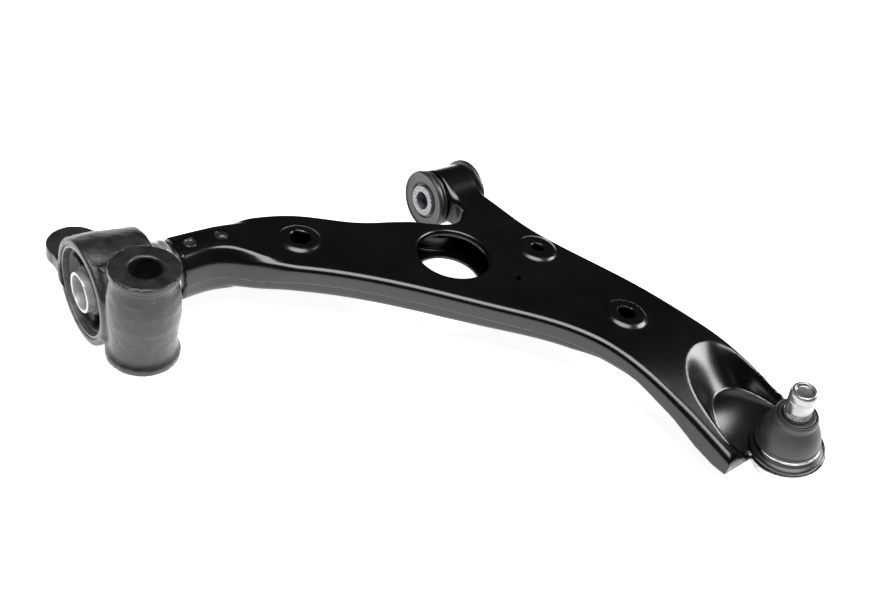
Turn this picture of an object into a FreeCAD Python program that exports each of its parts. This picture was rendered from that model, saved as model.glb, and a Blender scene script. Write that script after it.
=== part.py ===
"""Front lower control arm of a car: a two-shell pressed arm with a front bush, a rear bush in a cast
bracket, and a pinch-bolt ball joint.

Frame, in millimetres: the origin is the middle of the front bush. +Y runs forward along the swing
axis, which both bushes share; +X runs outboard to the ball joint; +Z is up, along the bracket's
bolt holes.
"""
import FreeCAD, Part
import math
import os
import Sketcher
from FreeCAD import Vector, Rotation, Placement

DIMENSIONS = {
    # bushes and swing axis
    "bush_spacing": 276.5, "front_bore": 13.6, "front_sleeve_dia": 24.0, "front_bush_len": 46.5,
    "front_bush_back": 25.5, "eye_dia": 43.0, "eye_len": 28.0, "eye_wall": 3.6, "back_disc_dia": 46.4,
    "fore_disc_dia": 48.0, "front_outer_wall": 1.6,
    # arm pressing
    "plate_half": 14.2, "sheet": 3.0, "seam_level": 0.0, "skirt_depth": 24.0, "edge_round": 5.0,
    "leg_dia": 39.0,
    "leg_end": 41.5, "leg_round_len": 44.0, "lower_wall_top": 4.0, "bead": 1.9,
    "main_hole_dia": 53.0, "pad_dia": 33.4, "pad_rise": 1.8, "pad_slope": 4.7, "drain_dia": 10.0,
    "plug_dia": 9.2, "first_plug": 52.5, "second_plug": 75.5,
    # rear bush, pin and bracket
    "ring_dia": 72.0, "ring_front_dia": 66.4, "ring_bore": 61.0, "ring_len": 44.0, "rear_outer_wall": 1.6,
    "rear_bush_recess": 0.6, "rear_rubber_len": 36.0, "rear_sleeve_dia": 26.8, "rear_sleeve_bore": 23.0,
    "rear_sleeve_len": 45.0, "collar_dia": 41.0, "collar_len": 15.3, "pin_dia": 33.0, "pin_end_recess": 20.0,
    "pin_grip": 47.0, "column_x": 50.6, "column_y": 3.0, "column_top": 53.0, "column_foot": 15.0,
    "column_dia": 41.0, "column_neck_dia": 38.4, "column_head_dia": 42.4, "column_foot_dia": 46.0,
    "bolt_hole_dia": 19.2, "ear_x": 53.5, "ear_y": 3.5, "ear_dia": 36.8, "ear_thick": 12.4,
    "ear_hole_dia": 14.6,
    # ball joint, lengths measured along its own axis from the seat of the boot
    "joint_x": 313.0, "joint_y": 50.0, "joint_z": -2.0, "ball_dia": 25.0, "ball_depth": 11.5,
    "joint_flange_dia": 48.0, "joint_body_dia": 40.0, "floor_depth": 9.0, "joint_reach": 27.6,
    "lip_x": 311.3, "lip_y": 55.6,
    "stud_dia": 17.4, "stud_top": 48.0, "boot_dia": 42.0, "boot_top": 25.5, "running_gap": 0.05,
}

# The joint's axis leans rearward and a little inboard.
JOINT_AXIS = Vector(-0.081, -0.2, 0.977)

# Points of the arm's outline at its edge, from the notch behind the front eye round to the far side.
INBOARD_EDGE = [(45.5, -30), (33, -59.5), (17, -100.3), (-6, -137), (-15.8, -167.5), (-19, -200)]
OUTBOARD_EDGE = [(20, -207), (31.5, -192), (56, -157), (98, -106), (139, -65), (166, -39), (196, -20),
                 (224, -11.5), (266, -1)]
FORWARD_EDGE = [(298, 82), (267.7, 76.8), (230.3, 71), (197.3, 63.6), (163.8, 54.4), (128.8, 41.2),
                (103, 30.7), (75.8, 21.7), (49.7, 17)]
RIDGE_END = (304, 6)
# The lip round the ball joint leaves the forward edge at this angle and place.
LIP_TURN = 98
LIP_STOP = (307.5, 82.9)
# Raised pads with a hole, the gauge hole and the drains: where they stand and the diameter of the hole.
PADS = [(20.6, -151.2, 14.4), (98.2, 6.5, 9.0), (182.4, 17.7, 12.4)]
MAIN_HOLE = (77.4, -57.4)
GAUGE_HOLE = (118.5, -29.4, 5.0)
DRAINS = [(50, -110), (140, -18), (200, 24)]

doc = FreeCAD.newDocument("control_arm")
sheet = doc.addObject("Spreadsheet::Sheet", "sizes")
for row, (name, value) in enumerate(DIMENSIONS.items(), start=1):
    sheet.set(f"A{row}", name)
    sheet.set(f"B{row}", str(value))
    sheet.setAlias(f"B{row}", name)
doc.recompute()

NODES = []


def size(name):
    """The value of a cell of the sheet."""
    return float(sheet.get(name))


def bound(text):
    """An expression over the sheet's cells, with each name led to its cell."""
    words = sorted(DIMENSIONS, key=len, reverse=True)
    out = text
    for number, word in enumerate(words):
        out = out.replace(word, f"<{number}>")
    for number, word in enumerate(words):
        out = out.replace(f"<{number}>", f"sizes.{word}")
    return out


probe = doc.addObject("App::FeaturePython", "probe")
probe.addProperty("App::PropertyFloat", "value")


def number(text):
    """The value of such an expression."""
    probe.setExpression("value", bound(text))
    probe.recompute()
    return float(probe.value)


def kept(obj, label, placement=None):
    """Marks an object as a sub-part under the name of its node."""
    obj.Label = label
    if placement is not None:
        obj.Placement = placement
    NODES.append(obj)
    return obj


def along_y(middle):
    """The placement that lays a turned piece's axis along +Y, its zero at y = middle."""
    return Placement(Vector(0, middle, 0), Rotation(Vector(1, 0, 0), -90))


def plane_of(body, role):
    """One of a body's own origin planes."""
    for feature in body.Origin.OriginFeatures:
        if feature.Role == role:
            return feature
    raise ValueError(role)


def attached_sketch(body, name, role, offset=0.0):
    """A new sketch on a body's own origin plane, moved along the plane's normal."""
    sketch = body.newObject("Sketcher::SketchObject", name)
    sketch.AttachmentSupport = [(plane_of(body, role), "")]
    sketch.MapMode = "FlatFace"
    sketch.AttachmentOffset = Placement(Vector(0, 0, offset), Rotation())
    return sketch


def pin_vertex(sketch, edge, across, up):
    """Ties the start of an edge to a radius and a height, each an expression over the sheet."""
    for kind, axis, text in (("DistanceX", -2, across), ("DistanceY", -1, up)):
        if text == "0":
            sketch.addConstraint(Sketcher.Constraint("PointOnObject", edge, 1, axis))
        else:
            place = sketch.addConstraint(Sketcher.Constraint(kind, -1, 1, edge, 1, number(text)))
            sketch.setExpression(f"Constraints[{place}]", bound(text))


def profile_sketch(sketch, corners):
    """A closed outline of straight edges through corners given as (radius, height) expressions."""
    spots = [Vector(number(across), number(up), 0) for across, up in corners]
    count = len(spots)
    for place in range(count):
        sketch.addGeometry(Part.LineSegment(spots[place], spots[(place + 1) % count]), False)
    for place in range(count):
        sketch.addConstraint(Sketcher.Constraint("Coincident", place, 2, (place + 1) % count, 1))
    for place, (across, up) in enumerate(corners):
        pin_vertex(sketch, place, across, up)


def turned(label, corners, placement):
    """A body of revolution about its own Z axis, through corners given as (radius, height) expressions."""
    body = doc.addObject("PartDesign::Body", label)
    sketch = attached_sketch(body, f"{label}_profile", "XZ_Plane")
    profile_sketch(sketch, corners)
    turn = body.newObject("PartDesign::Revolution", f"{label}_turn")
    turn.Profile = sketch
    turn.ReferenceAxis = (sketch, ["V_Axis"])
    turn.Angle = 360.0
    body.Tip = turn
    body.Placement = placement
    return body


def cylinder(name, radius, height, placement):
    """A cylinder whose radius and height are expressions over the sheet."""
    rod = doc.addObject("Part::Cylinder", name)
    rod.setExpression("Radius", bound(radius))
    rod.setExpression("Height", bound(height))
    rod.Placement = placement
    return rod


def cone(name, low, high, height, placement):
    """A truncated cone, its radii and height expressions over the sheet."""
    piece = doc.addObject("Part::Cone", name)
    piece.setExpression("Radius1", bound(low))
    piece.setExpression("Radius2", bound(high))
    piece.setExpression("Height", bound(height))
    piece.Placement = placement
    return piece


def block(name, low, high):
    """A box from its lowest to its highest corner."""
    box = doc.addObject("Part::Box", name)
    box.Length, box.Width, box.Height = [top - base for base, top in zip(low, high)]
    box.Placement = Placement(Vector(*low), Rotation())
    return box


def fused(name, *pieces):
    """The union of two or more objects."""
    union = doc.addObject("Part::MultiFuse", name)
    union.Shapes = list(pieces)
    return union


def cut(name, base, tool):
    """One object less another."""
    result = doc.addObject("Part::Cut", name)
    result.Base = base
    result.Tool = tool
    return result


def common(name, base, tool):
    """What two objects share."""
    result = doc.addObject("Part::Common", name)
    result.Base = base
    result.Tool = tool
    return result


# ---------------------------------------------------------------- where the ball joint stands
JOINT_SEAT = Vector(size("joint_x"), size("joint_y"), size("joint_z"))
JOINT = Placement(JOINT_SEAT, Rotation(Vector(0, 0, 1), JOINT_AXIS))
REAR = -size("bush_spacing")


def on_joint(height):
    """The joint's placement moved along its own axis."""
    return JOINT.multiply(Placement(Vector(0, 0, height), Rotation()))


# ---------------------------------------------------------------- arm pressings
def curve(points, leaving=None, arriving=None):
    """A smooth curve through plan points, with its end directions given or free."""
    spline = Part.BSplineCurve()
    spots = [Vector(across, along, 0) for across, along in points]
    if leaving is None:
        spline.interpolate(spots)
    else:
        spline.interpolate(Points=spots, InitialTangent=leaving, FinalTangent=arriving)
    return spline


def line(start, end):
    return Part.LineSegment(Vector(*start, 0), Vector(*end, 0))


def moved_in(points, depth, closed_start, closed_end):
    """Plan points moved to the left of the curve through them by a depth."""
    spline = curve([closed_start] + points + [closed_end])
    moved = []
    for across, along in points:
        tangent = spline.tangent(spline.parameter(Vector(across, along, 0)))[0]
        moved.append((across - tangent.y * depth, along + tangent.x * depth))
    return moved


def arm_outline(depth):
    """Edges of the arm's plan, moved inwards by a depth: leg, outboard edge, ball joint end, forward edge,
    eye neck and inboard edge. The leg's open end and the eye's side aren't moved."""
    half_leg = size("leg_dia") / 2 - depth
    leg_y = REAR + size("leg_end") - (1 if depth else 0)
    leg_start = (-half_leg, leg_y)
    leg_stop = (half_leg, leg_y)
    reach = size("joint_reach") - depth
    centre = Vector(size("lip_x"), size("lip_y"), 0)
    notch_x = 305.0 - depth
    turn_in = -math.acos((notch_x - centre.x) / reach)
    turn_out = math.radians(LIP_TURN)
    start = centre + Vector(reach * math.cos(turn_in), reach * math.sin(turn_in), 0)
    stop = centre + Vector(reach * math.cos(turn_out), reach * math.sin(turn_out), 0)
    end_arc = Part.Arc(start, centre + Vector(reach, 0, 0), stop)
    neck_x = size("eye_dia") / 2 - 12
    neck_y = size("eye_len") / 2 - 0.5 - depth
    ridge_end = (RIDGE_END[0] - depth, RIDGE_END[1] + depth)
    outboard = [leg_stop] + moved_in(OUTBOARD_EDGE, depth, leg_stop, RIDGE_END) + [ridge_end]
    forward = [(stop.x, stop.y)] + moved_in(FORWARD_EDGE, depth, LIP_STOP, (neck_x + 18, neck_y + depth))
    forward += [(neck_x + 18, neck_y), (neck_x, neck_y)]
    end_tangent = Vector(-math.sin(turn_out), math.cos(turn_out), 0)
    inboard = [(neck_x + 26 + depth, -neck_y)] + moved_in(INBOARD_EDGE, depth, (neck_x + 26, -neck_y - depth),
                                                          (-half_leg - depth, leg_y)) + [leg_start]
    return [line(leg_start, leg_stop), curve(outboard), line(ridge_end, (start.x, start.y)), end_arc,
            curve(forward, end_tangent, Vector(-1, 0, 0)), line((neck_x, neck_y), (neck_x, -neck_y)),
            line((neck_x, -neck_y), inboard[0]), curve(inboard)]


def plan(name, depth):
    """A sketch of the arm's plan, moved inwards by a depth."""
    sketch = doc.addObject("Sketcher::SketchObject", name)
    for edge in arm_outline(depth):
        sketch.addGeometry(edge, False)
    return sketch


outline = plan("arm_outline", 0.0)
doc.recompute()


def slab(name, profile, bottom, top):
    """A plan outline raised between two levels."""
    solid = doc.addObject("Part::Extrusion", name)
    solid.Base = profile
    solid.DirMode = "Custom"
    solid.Dir = Vector(0, 0, 1)
    solid.Solid = True
    solid.setExpression("LengthFwd", bound(top))
    solid.setExpression("LengthRev", bound(f"-({bottom})"))
    return solid


def rounded_top(name, base, radius, level):
    """A slab with the edges of its upper face rounded."""
    doc.recompute()
    rim = [place + 1 for place, edge in enumerate(base.Shape.Edges)
           if all(abs(vertex.Z - level) < 0.01 for vertex in edge.Vertexes)]
    rounded = doc.addObject("Part::Fillet", name)
    rounded.Base = base
    rounded.Edges = [(place, radius, radius) for place in rim]
    return rounded


def lying(name, radius, start, length):
    """A cylinder along +Y, its length an expression."""
    return cylinder(name, radius, length, Placement(Vector(0, start, 0), Rotation(Vector(1, 0, 0), -90)))


def upright(name, radius, bottom, height, spot):
    """A cylinder along +Z."""
    return cylinder(name, radius, height, Placement(Vector(spot[0], spot[1], bottom), Rotation()))


half = size("plate_half")
sheet_thick = size("sheet")
leg_start_y = REAR + size("leg_end")

RIDGE_NORMAL = Vector(0.24, -0.08, 1)
HEEL_START = 100.0
HEEL_ANGLE = 6.8


def without_ridge(name, slab_object, level):
    """A slab less a wedge over its outboard end, where the ridges beside the ball joint run down."""
    wedge = doc.addObject("Part::Box", f"{name}_wedge")
    wedge.Length, wedge.Width, wedge.Height = 220, 260, 60
    wedge.Placement = Placement(Vector(208, -70, level - 3.9), Rotation(Vector(0, 0, 1), RIDGE_NORMAL))
    return cut(name, slab_object, wedge)


def without_heel(name, slab_object, level):
    """A slab less a wedge below, where the arm's underside climbs towards the ball joint."""
    climb = Rotation(Vector(0, 1, 0), -HEEL_ANGLE)
    heel = doc.addObject("Part::Box", f"{name}_heel")
    heel.Length, heel.Width, heel.Height = 240, 300, 60
    heel.Placement = Placement(Vector(HEEL_START, -150, level) - climb.multVec(Vector(0, 0, 60)), climb)
    return cut(name, slab_object, heel)


def pocket(name, grow, floor, top):
    """The scoop round the ball joint: a hull of two discs, standing on the joint's axis."""
    near = 25.0 + grow
    far = 21.5 + grow
    run = 37.0
    lean = math.asin((near - far) / run)
    back = math.pi / 2 + lean
    head = [Vector(near * math.cos(turn), near * math.sin(turn), 0) for turn in (back, 0, -back)]
    tail = [Vector(far * math.cos(turn) - run, far * math.sin(turn), 0) for turn in (back, math.pi, -back)]
    wire = Part.Wire([Part.Arc(*head).toShape(), Part.LineSegment(head[2], tail[2]).toShape(),
                      Part.Arc(*reversed(tail)).toShape(), Part.LineSegment(tail[0], head[0]).toShape()])
    solid = Part.Face(wire).extrude(Vector(0, 0, top - floor))
    piece = doc.addObject("Part::Feature", name)
    piece.Shape = solid
    piece.Placement = on_joint(floor)
    return piece


floor_level = -size("floor_depth")
scoop = pocket("scoop", 0.0, floor_level, 60.0)
scoop_shell = pocket("scoop_shell", sheet_thick, floor_level - sheet_thick, 60.0)
lip_clear = common("lip_clear", cylinder("lip_round", "joint_reach + 12", "60", on_joint(floor_level + 1.5)),
                   block("lip_side", (304, -40, -60), (380, 140, 60)))

# The upper pressing: a rounded slab, hollow below, with a half-round leg over the pin.
upper_slab = slab("upper_slab", outline, "-skirt_depth", "plate_half")
upper_sloped = without_ridge("upper_sloped", upper_slab, half)
upper_round = rounded_top("upper_round", upper_sloped, size("edge_round"), half)
upper_leg = lying("upper_leg", "leg_dia / 2", leg_start_y, "leg_round_len")
upper_hull = fused("upper_hull", upper_round, upper_leg)

inner_outline = plan("inner_outline", size("sheet"))
upper_core_slab = slab("upper_core_slab", inner_outline, "-skirt_depth - 10", "plate_half - sheet")
core_sloped = without_ridge("core_sloped", upper_core_slab, half - sheet_thick)
upper_core_round = rounded_top("upper_core_round", core_sloped, size("edge_round") - 2.5, half - sheet_thick)
leg_core = lying("leg_core", "leg_dia / 2 - sheet", leg_start_y - 1, "leg_round_len + 1")
upper_cavity = cut("upper_cavity", upper_core_round, scoop_shell)
upper_open = cut("upper_open", cut("upper_hollow", upper_hull, upper_cavity), leg_core)

# Below the seam only the outboard end keeps its skirt.
RAMP_START = 222
RAMP_ANGLE = 15
skirt = block("below_seam", (-60, REAR - 20, -60), (RAMP_START + 1, 100, size("seam_level")))
skirt_ramp = doc.addObject("Part::Box", "skirt_ramp")
skirt_ramp.Length, skirt_ramp.Width, skirt_ramp.Height = 110, 260, 30
ramp_turn = Rotation(Vector(0, 1, 0), RAMP_ANGLE)
ramp_corner = Vector(RAMP_START, -80, size("seam_level")) - ramp_turn.multVec(Vector(0, 0, 30))
skirt_ramp.Placement = Placement(ramp_corner, ramp_turn)
joint_underside = doc.addObject("Part::Cylinder", "joint_underside")
joint_underside.Radius = 62
joint_underside.Height = 60
joint_underside.Placement = on_joint(floor_level - sheet_thick - 60)

eye_clear = lying("eye_clear", "eye_dia / 2", -size("eye_len"), "eye_len * 2")
hole_cut = upright("main_hole_cut", "main_hole_dia / 2", -60, "120", MAIN_HOLE)
hole_collar = upright("upper_hole_collar", "main_hole_dia / 2 + sheet", 1.5, "plate_half - 1.5", MAIN_HOLE)
gauge_cut = upright("gauge_hole", str(GAUGE_HOLE[2] / 2), -20, "60", GAUGE_HOLE[:2])
boot_hole = cylinder("housing_hole", "joint_body_dia / 2", "40", on_joint(-30))

pads, pad_holes = [], []
for place, (across, along, hole) in enumerate(PADS, start=1):
    spot = Placement(Vector(across, along, half), Rotation())
    pads.append(cone(f"pad_{place}", "pad_dia / 2", "pad_dia / 2 - pad_slope", "pad_rise", spot))
    pad_holes.append(upright(f"pad_hole_{place}", str(hole / 2), 0, "60", (across, along)))

PLUG_SPOTS = [REAR + size("first_plug"), REAR + size("second_plug")]


def plug_rods(name):
    """The two upright rods that the plug welds fill."""
    return [upright(f"{name}_{place}", "plug_dia / 2", 5, "20", (0, along))
            for place, along in enumerate(PLUG_SPOTS, start=1)]


upper_full = fused("upper_full", upper_open, hole_collar, *pads)
upper_tools = fused("upper_tools", scoop, lip_clear, skirt, skirt_ramp, joint_underside, eye_clear, hole_cut,
                    gauge_cut, boot_hole, *pad_holes, *plug_rods("plug_hole"))
upper_shell = kept(cut("upper_pressing", upper_full, upper_tools), "upper_shell")

# The lower pressing: a tray whose walls stand inside the upper one, cut off short of the ball joint.
TRAY_END = 224
lower_slab = without_heel("lower_block", slab("lower_slab", inner_outline, "-plate_half", "lower_wall_top"),
                          -half)
lower_leg = lying("lower_leg", "leg_dia / 2", leg_start_y, "leg_round_len")
core_outline = plan("core_outline", size("sheet") * 2)
lower_core_slab = without_heel("lower_core", slab("lower_core_slab", core_outline, "sheet - plate_half",
                                                  "lower_wall_top + 30"), sheet_thick - half)
lower_leg_core = lying("lower_leg_core", "leg_dia / 2 - sheet", leg_start_y - 1, "leg_round_len + 1")
above_seam = block("above_seam", (-60, REAR - 20, size("seam_level")), (60, REAR + 86, 60))
lower_leg_half = cut("lower_leg_half", lower_leg, above_seam)
lower_hull = fused("lower_hull", lower_slab, lower_leg_half)
lower_tray = cut("lower_tray", cut("lower_hollow", lower_hull, lower_core_slab), lower_leg_core)
lower_collar = upright("lower_hole_collar", "main_hole_dia / 2 + sheet", -half, "plate_half - 1.5", MAIN_HOLE)
tray_end = block("tray_end", (TRAY_END, -60, -60), (400, 140, 60))
leg_top_trim = block("leg_top_trim", (-60, REAR - 20, size("seam_level")), (60, REAR + 80, 60))
drain_cuts = [upright(f"drain_{place}", "drain_dia / 2", -40, "60", spot)
              for place, spot in enumerate(DRAINS, start=1)]
lower_full = fused("lower_full", lower_tray, lower_collar)
lower_tools = fused("lower_tools", tray_end, leg_top_trim, eye_clear, hole_cut, *drain_cuts)
lower_shell = kept(cut("lower_pressing", lower_full, lower_tools), "lower_shell")

# The weld along the seam, a bead under the upper wall's lower edge.
bead_outer = plan("bead_outer", size("sheet") - size("bead"))
bead_slab = slab("bead_slab", bead_outer, "seam_level - bead", "seam_level")
bead_core = slab("bead_core", inner_outline, "seam_level - bead - 5", "seam_level + 5")
bead_ends = fused("bead_ends", block("bead_leg_end", (-60, REAR - 20, -60), (60, REAR + 89, 60)),
                  block("bead_joint_end", (200, -60, -60), (400, 140, 60)),
                  block("bead_eye_end", (-60, -32, -60), (60, 60, 60)))
bead_ring = cut("bead_ring", bead_slab, bead_core)
seam_weld = kept(cut("seam_bead", bead_ring, bead_ends), "seam_weld")


# ---------------------------------------------------------------- front bush
def tube(label, inner, outer, length, start):
    """A plain tube with small chamfers, lying along +Y from y = start."""
    corners = [(inner, "0.6"), (f"{inner} + 0.6", "0"), (f"{outer} - 0.6", "0"), (outer, "0.6"),
               (outer, f"{length} - 0.6"), (f"{outer} - 0.6", length), (f"{inner} + 0.6", length),
               (inner, f"{length} - 0.6")]
    return turned(label, corners, along_y(start))


EYE_BORE = "(eye_dia / 2 - eye_wall)"
RUBBER_BORE = "(front_sleeve_dia / 2 + running_gap)"
RUBBER_OUTER = "(eye_dia / 2 - eye_wall - front_outer_wall)"

eye_start = -size("eye_len") / 2
bush_start = -size("front_bush_back")
kept(tube("front_eye", EYE_BORE, "eye_dia / 2", "eye_len", eye_start), "front_eye_tube")
kept(tube("front_outer", RUBBER_OUTER, EYE_BORE, "eye_len", eye_start), "front_bush_outer_sleeve")
kept(tube("front_inner", "front_bore / 2", "front_sleeve_dia / 2", "front_bush_len", bush_start),
     "front_bush_inner_sleeve")

# The rubber's rear end: a rimmed face, a groove, a second rib and a lip on the outer sleeve.
BACK_END = [(RUBBER_BORE, "3"), ("back_disc_dia / 2 - 9.6", "3"), ("back_disc_dia / 2 - 9", "1.4"),
            ("back_disc_dia / 2 - 3", "1.4"), ("back_disc_dia / 2 - 1.8", "0.6"),
            ("back_disc_dia / 2", "1.4"), ("back_disc_dia / 2", "4.4"), ("back_disc_dia / 2 - 2.2", "5.2"),
            ("back_disc_dia / 2 - 2.2", "6"), ("back_disc_dia / 2 - 0.9", "6.6"),
            ("back_disc_dia / 2 - 0.9", "7.8"), ("back_disc_dia / 2 - 6", "8.6"),
            ("back_disc_dia / 2 - 6", "10.2"), ("eye_dia / 2 - 3", "10.6"),
            ("eye_dia / 2 - 3", "front_bush_back - eye_len / 2"),
            (RUBBER_OUTER, "front_bush_back - eye_len / 2")]
# Its forward end: one disc close to the eye.
FORE_END = [(RUBBER_OUTER, "front_bush_back + eye_len / 2"),
            ("eye_dia / 2 - 3", "front_bush_back + eye_len / 2"),
            ("eye_dia / 2 - 3", "front_bush_back + eye_len / 2 + 0.8"),
            ("fore_disc_dia / 2 - 2.4", "front_bush_back + eye_len / 2 + 1.2"),
            ("fore_disc_dia / 2", "front_bush_back + eye_len / 2 + 2"),
            ("fore_disc_dia / 2", "front_bush_len - 2"),
            ("fore_disc_dia / 2 - 1", "front_bush_len - 1.2"),
            ("back_disc_dia / 2 - 9", "front_bush_len - 1.2"),
            ("back_disc_dia / 2 - 9.6", "front_bush_len - 2.4"), (RUBBER_BORE, "front_bush_len - 2.4")]
kept(turned("front_rubber", BACK_END + FORE_END, along_y(bush_start)), "front_bush_rubber")

# ---------------------------------------------------------------- rear bush
def rear_tube(label, inner, outer, length):
    """A plain tube round the swing axis, with its middle at the rear bush."""
    return tube(label, inner, outer, length, REAR - number(length) / 2)


kept(rear_tube("rear_outer", "ring_bore / 2 - rear_outer_wall", "ring_bore / 2",
               "ring_len - rear_bush_recess * 2"),
     "rear_bush_outer_sleeve")
kept(rear_tube("rear_inner", "rear_sleeve_bore / 2", "rear_sleeve_dia / 2", "rear_sleeve_len"),
     "rear_bush_inner_sleeve")


def kidney(sketch, inner, outer, start, stop):
    """A closed slot between two radii and two angles, with square ends."""
    low, high = math.radians(start), math.radians(stop)
    middle = (low + high) / 2

    def spot(radius, turn):
        return Vector(radius * math.cos(turn), radius * math.sin(turn), 0)

    for edge in (Part.Arc(spot(inner, low), spot(inner, middle), spot(inner, high)),
                 Part.LineSegment(spot(inner, high), spot(outer, high)),
                 Part.Arc(spot(outer, high), spot(outer, middle), spot(outer, low)),
                 Part.LineSegment(spot(outer, low), spot(inner, low))):
        sketch.addGeometry(edge, False)


rear_rubber = rear_tube("rear_rubber", "rear_sleeve_dia / 2 + running_gap", "ring_bore / 2 - rear_outer_wall",
                        "rear_rubber_len")
voids = attached_sketch(rear_rubber, "rubber_voids", "XY_Plane")
void_inner = size("rear_sleeve_dia") / 2 + 3.2
void_outer = size("ring_bore") / 2 - size("rear_outer_wall") - 2.4
kidney(voids, void_inner, void_outer, 25, 80)
kidney(voids, void_inner, void_outer, 205, 260)
rubber_outer = size("ring_bore") / 2 - size("rear_outer_wall")
solid_rubber = size("rear_rubber_len") * math.pi * (rubber_outer ** 2 - size("rear_sleeve_dia") ** 2 / 4)
pocket_cut = rear_rubber.newObject("PartDesign::Pocket", "void_pocket")
pocket_cut.Profile = voids
pocket_cut.Type = "ThroughAll"
pocket_cut.Reversed = True
rear_rubber.Tip = pocket_cut
kept(rear_rubber, "rear_bush_rubber")

# ---------------------------------------------------------------- pin of the leg
PIN_SHOULDER = "(pin_end_recess * -1 + rear_sleeve_len + collar_len)"
pin_profile = [("0", "0"), ("rear_sleeve_bore / 2 - 1", "0"), ("rear_sleeve_bore / 2", "1"),
               ("rear_sleeve_bore / 2", PIN_SHOULDER), ("pin_dia / 2", PIN_SHOULDER),
               ("pin_dia / 2", f"{PIN_SHOULDER} + pin_grip - 2"),
               ("pin_dia / 2 - 2", f"{PIN_SHOULDER} + pin_grip"),
               ("0", f"{PIN_SHOULDER} + pin_grip")]
pin_start = REAR - size("rear_sleeve_len") / 2 + size("pin_end_recess")
kept(turned("pin", pin_profile, along_y(pin_start)), "rear_pin")
collar_profile = [("rear_sleeve_bore / 2", "0"), ("collar_dia / 2 - 2", "0"), ("collar_dia / 2", "1.5"),
                  ("collar_dia / 2", "collar_len - 1"), ("collar_dia / 2 - 1", "collar_len"),
                  ("rear_sleeve_bore / 2", "collar_len")]
kept(turned("collar", collar_profile, along_y(REAR + size("rear_sleeve_len") / 2)), "rear_pin_collar")

plug_skin = lying("plug_skin", "leg_dia / 2 - 0.6", leg_start_y, "leg_round_len")
plug_core = lying("plug_core", "pin_dia / 2", leg_start_y - 5, "leg_round_len + 10")
plug_fill = common("plug_fill", fused("plug_rod_pair", *plug_rods("plug_rod")), plug_skin)
kept(cut("plug_welds", plug_fill, plug_core), "pin_plug_welds")

# ---------------------------------------------------------------- bracket
COLUMN_SPOT = (size("column_x"), REAR - size("column_y"))
EAR_SPOT = (-size("ear_x"), REAR - size("ear_y"))
ring_profile = [("10", "0"), ("ring_dia / 2 - 1.9", "0"), ("ring_dia / 2 - 0.5", "1.4"),
                ("ring_dia / 2", "9"),
                ("ring_dia / 2 - 0.2", "20"), ("ring_front_dia / 2 + 0.4", "ring_len - 10"),
                ("ring_front_dia / 2", "ring_len - 1.5"), ("ring_front_dia / 2 - 1.5", "ring_len"),
                ("10", "ring_len")]
bracket_ring = turned("bracket_ring", ring_profile, along_y(REAR - size("ring_len") / 2))
COLUMN_HEIGHT = "(column_top + column_foot)"
column_profile = [("5", "0"), ("column_foot_dia / 2 - 1", "0"), ("column_foot_dia / 2", "1"),
                  ("column_foot_dia / 2", "4.2"), ("column_dia / 2 + 0.6", "7.4"), ("column_dia / 2", "10"),
                  ("column_dia / 2", "20"), ("column_dia / 2 + 1.5", "34"), ("column_dia / 2 + 1.5", "46"),
                  ("column_dia / 2", f"{COLUMN_HEIGHT} - 11"),
                  ("column_neck_dia / 2", f"{COLUMN_HEIGHT} - 7"),
                  ("column_head_dia / 2 - 1", f"{COLUMN_HEIGHT} - 4.7"),
                  ("column_head_dia / 2", f"{COLUMN_HEIGHT} - 3.8"),
                  ("column_head_dia / 2", f"{COLUMN_HEIGHT} - 0.8"),
                  ("column_head_dia / 2 - 0.8", COLUMN_HEIGHT), ("5", COLUMN_HEIGHT)]
column = turned("column", column_profile, Placement(Vector(*COLUMN_SPOT, -size("column_foot")), Rotation()))
ear = upright("ear", "ear_dia / 2", -size("column_foot"), "ear_thick", EAR_SPOT)
ear_arm = block("ear_arm", (EAR_SPOT[0], EAR_SPOT[1] - 17.3, -size("column_foot")),
                (-24, EAR_SPOT[1] + 17.3, size("ear_thick") - size("column_foot")))
web = block("column_web", (22, REAR - 16, -size("column_foot") + 4), (COLUMN_SPOT[0], REAR + 10, 34))
bracket_blank = fused("bracket_blank", bracket_ring, column, ear, ear_arm, web)
ring_hole = lying("ring_hole", "ring_bore / 2", REAR - 60, "120")
column_hole = upright("column_hole", "bolt_hole_dia / 2", -60, "160", COLUMN_SPOT)
column_mouth = cone("column_mouth", "bolt_hole_dia / 2", "bolt_hole_dia / 2 + 1.4", "1.4",
                    Placement(Vector(*COLUMN_SPOT, size("column_top") - 1.4), Rotation()))
ear_hole = upright("ear_hole", "ear_hole_dia / 2", -60, "120", EAR_SPOT)
bracket_holes = fused("bracket_holes", ring_hole, fused("column_drill", column_hole, column_mouth), ear_hole)
kept(cut("bracket", bracket_blank, bracket_holes), "rear_bracket")

# ---------------------------------------------------------------- ball joint
BASE = 30.0


def joint_turned(label, corners):
    """A piece turned on the joint's axis. Heights are measured from the seat of the boot."""
    lifted = [(across, f"{BASE} + ({up})") for across, up in corners]
    return turned(label, lifted, on_joint(-BASE))


housing_profile = [("15", "-24"), ("joint_body_dia / 2", "-24"), ("joint_body_dia / 2", "-floor_depth"),
                   ("joint_flange_dia / 2", "-floor_depth"), ("joint_flange_dia / 2", "-floor_depth + 2.8"),
                   ("joint_flange_dia / 2 - 1", "-floor_depth + 3.6"), ("joint_body_dia / 2 + 0.6", "-4.6"),
                   ("joint_body_dia / 2 + 0.6", "-2.6"), ("joint_body_dia / 2 - 0.8", "-2.2"),
                   ("joint_body_dia / 2 - 0.8", "0"), ("15.5", "0"), ("12.2", "-5.5"), ("15", "-5.5")]
kept(joint_turned("housing", housing_profile), "ball_joint_housing")

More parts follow.
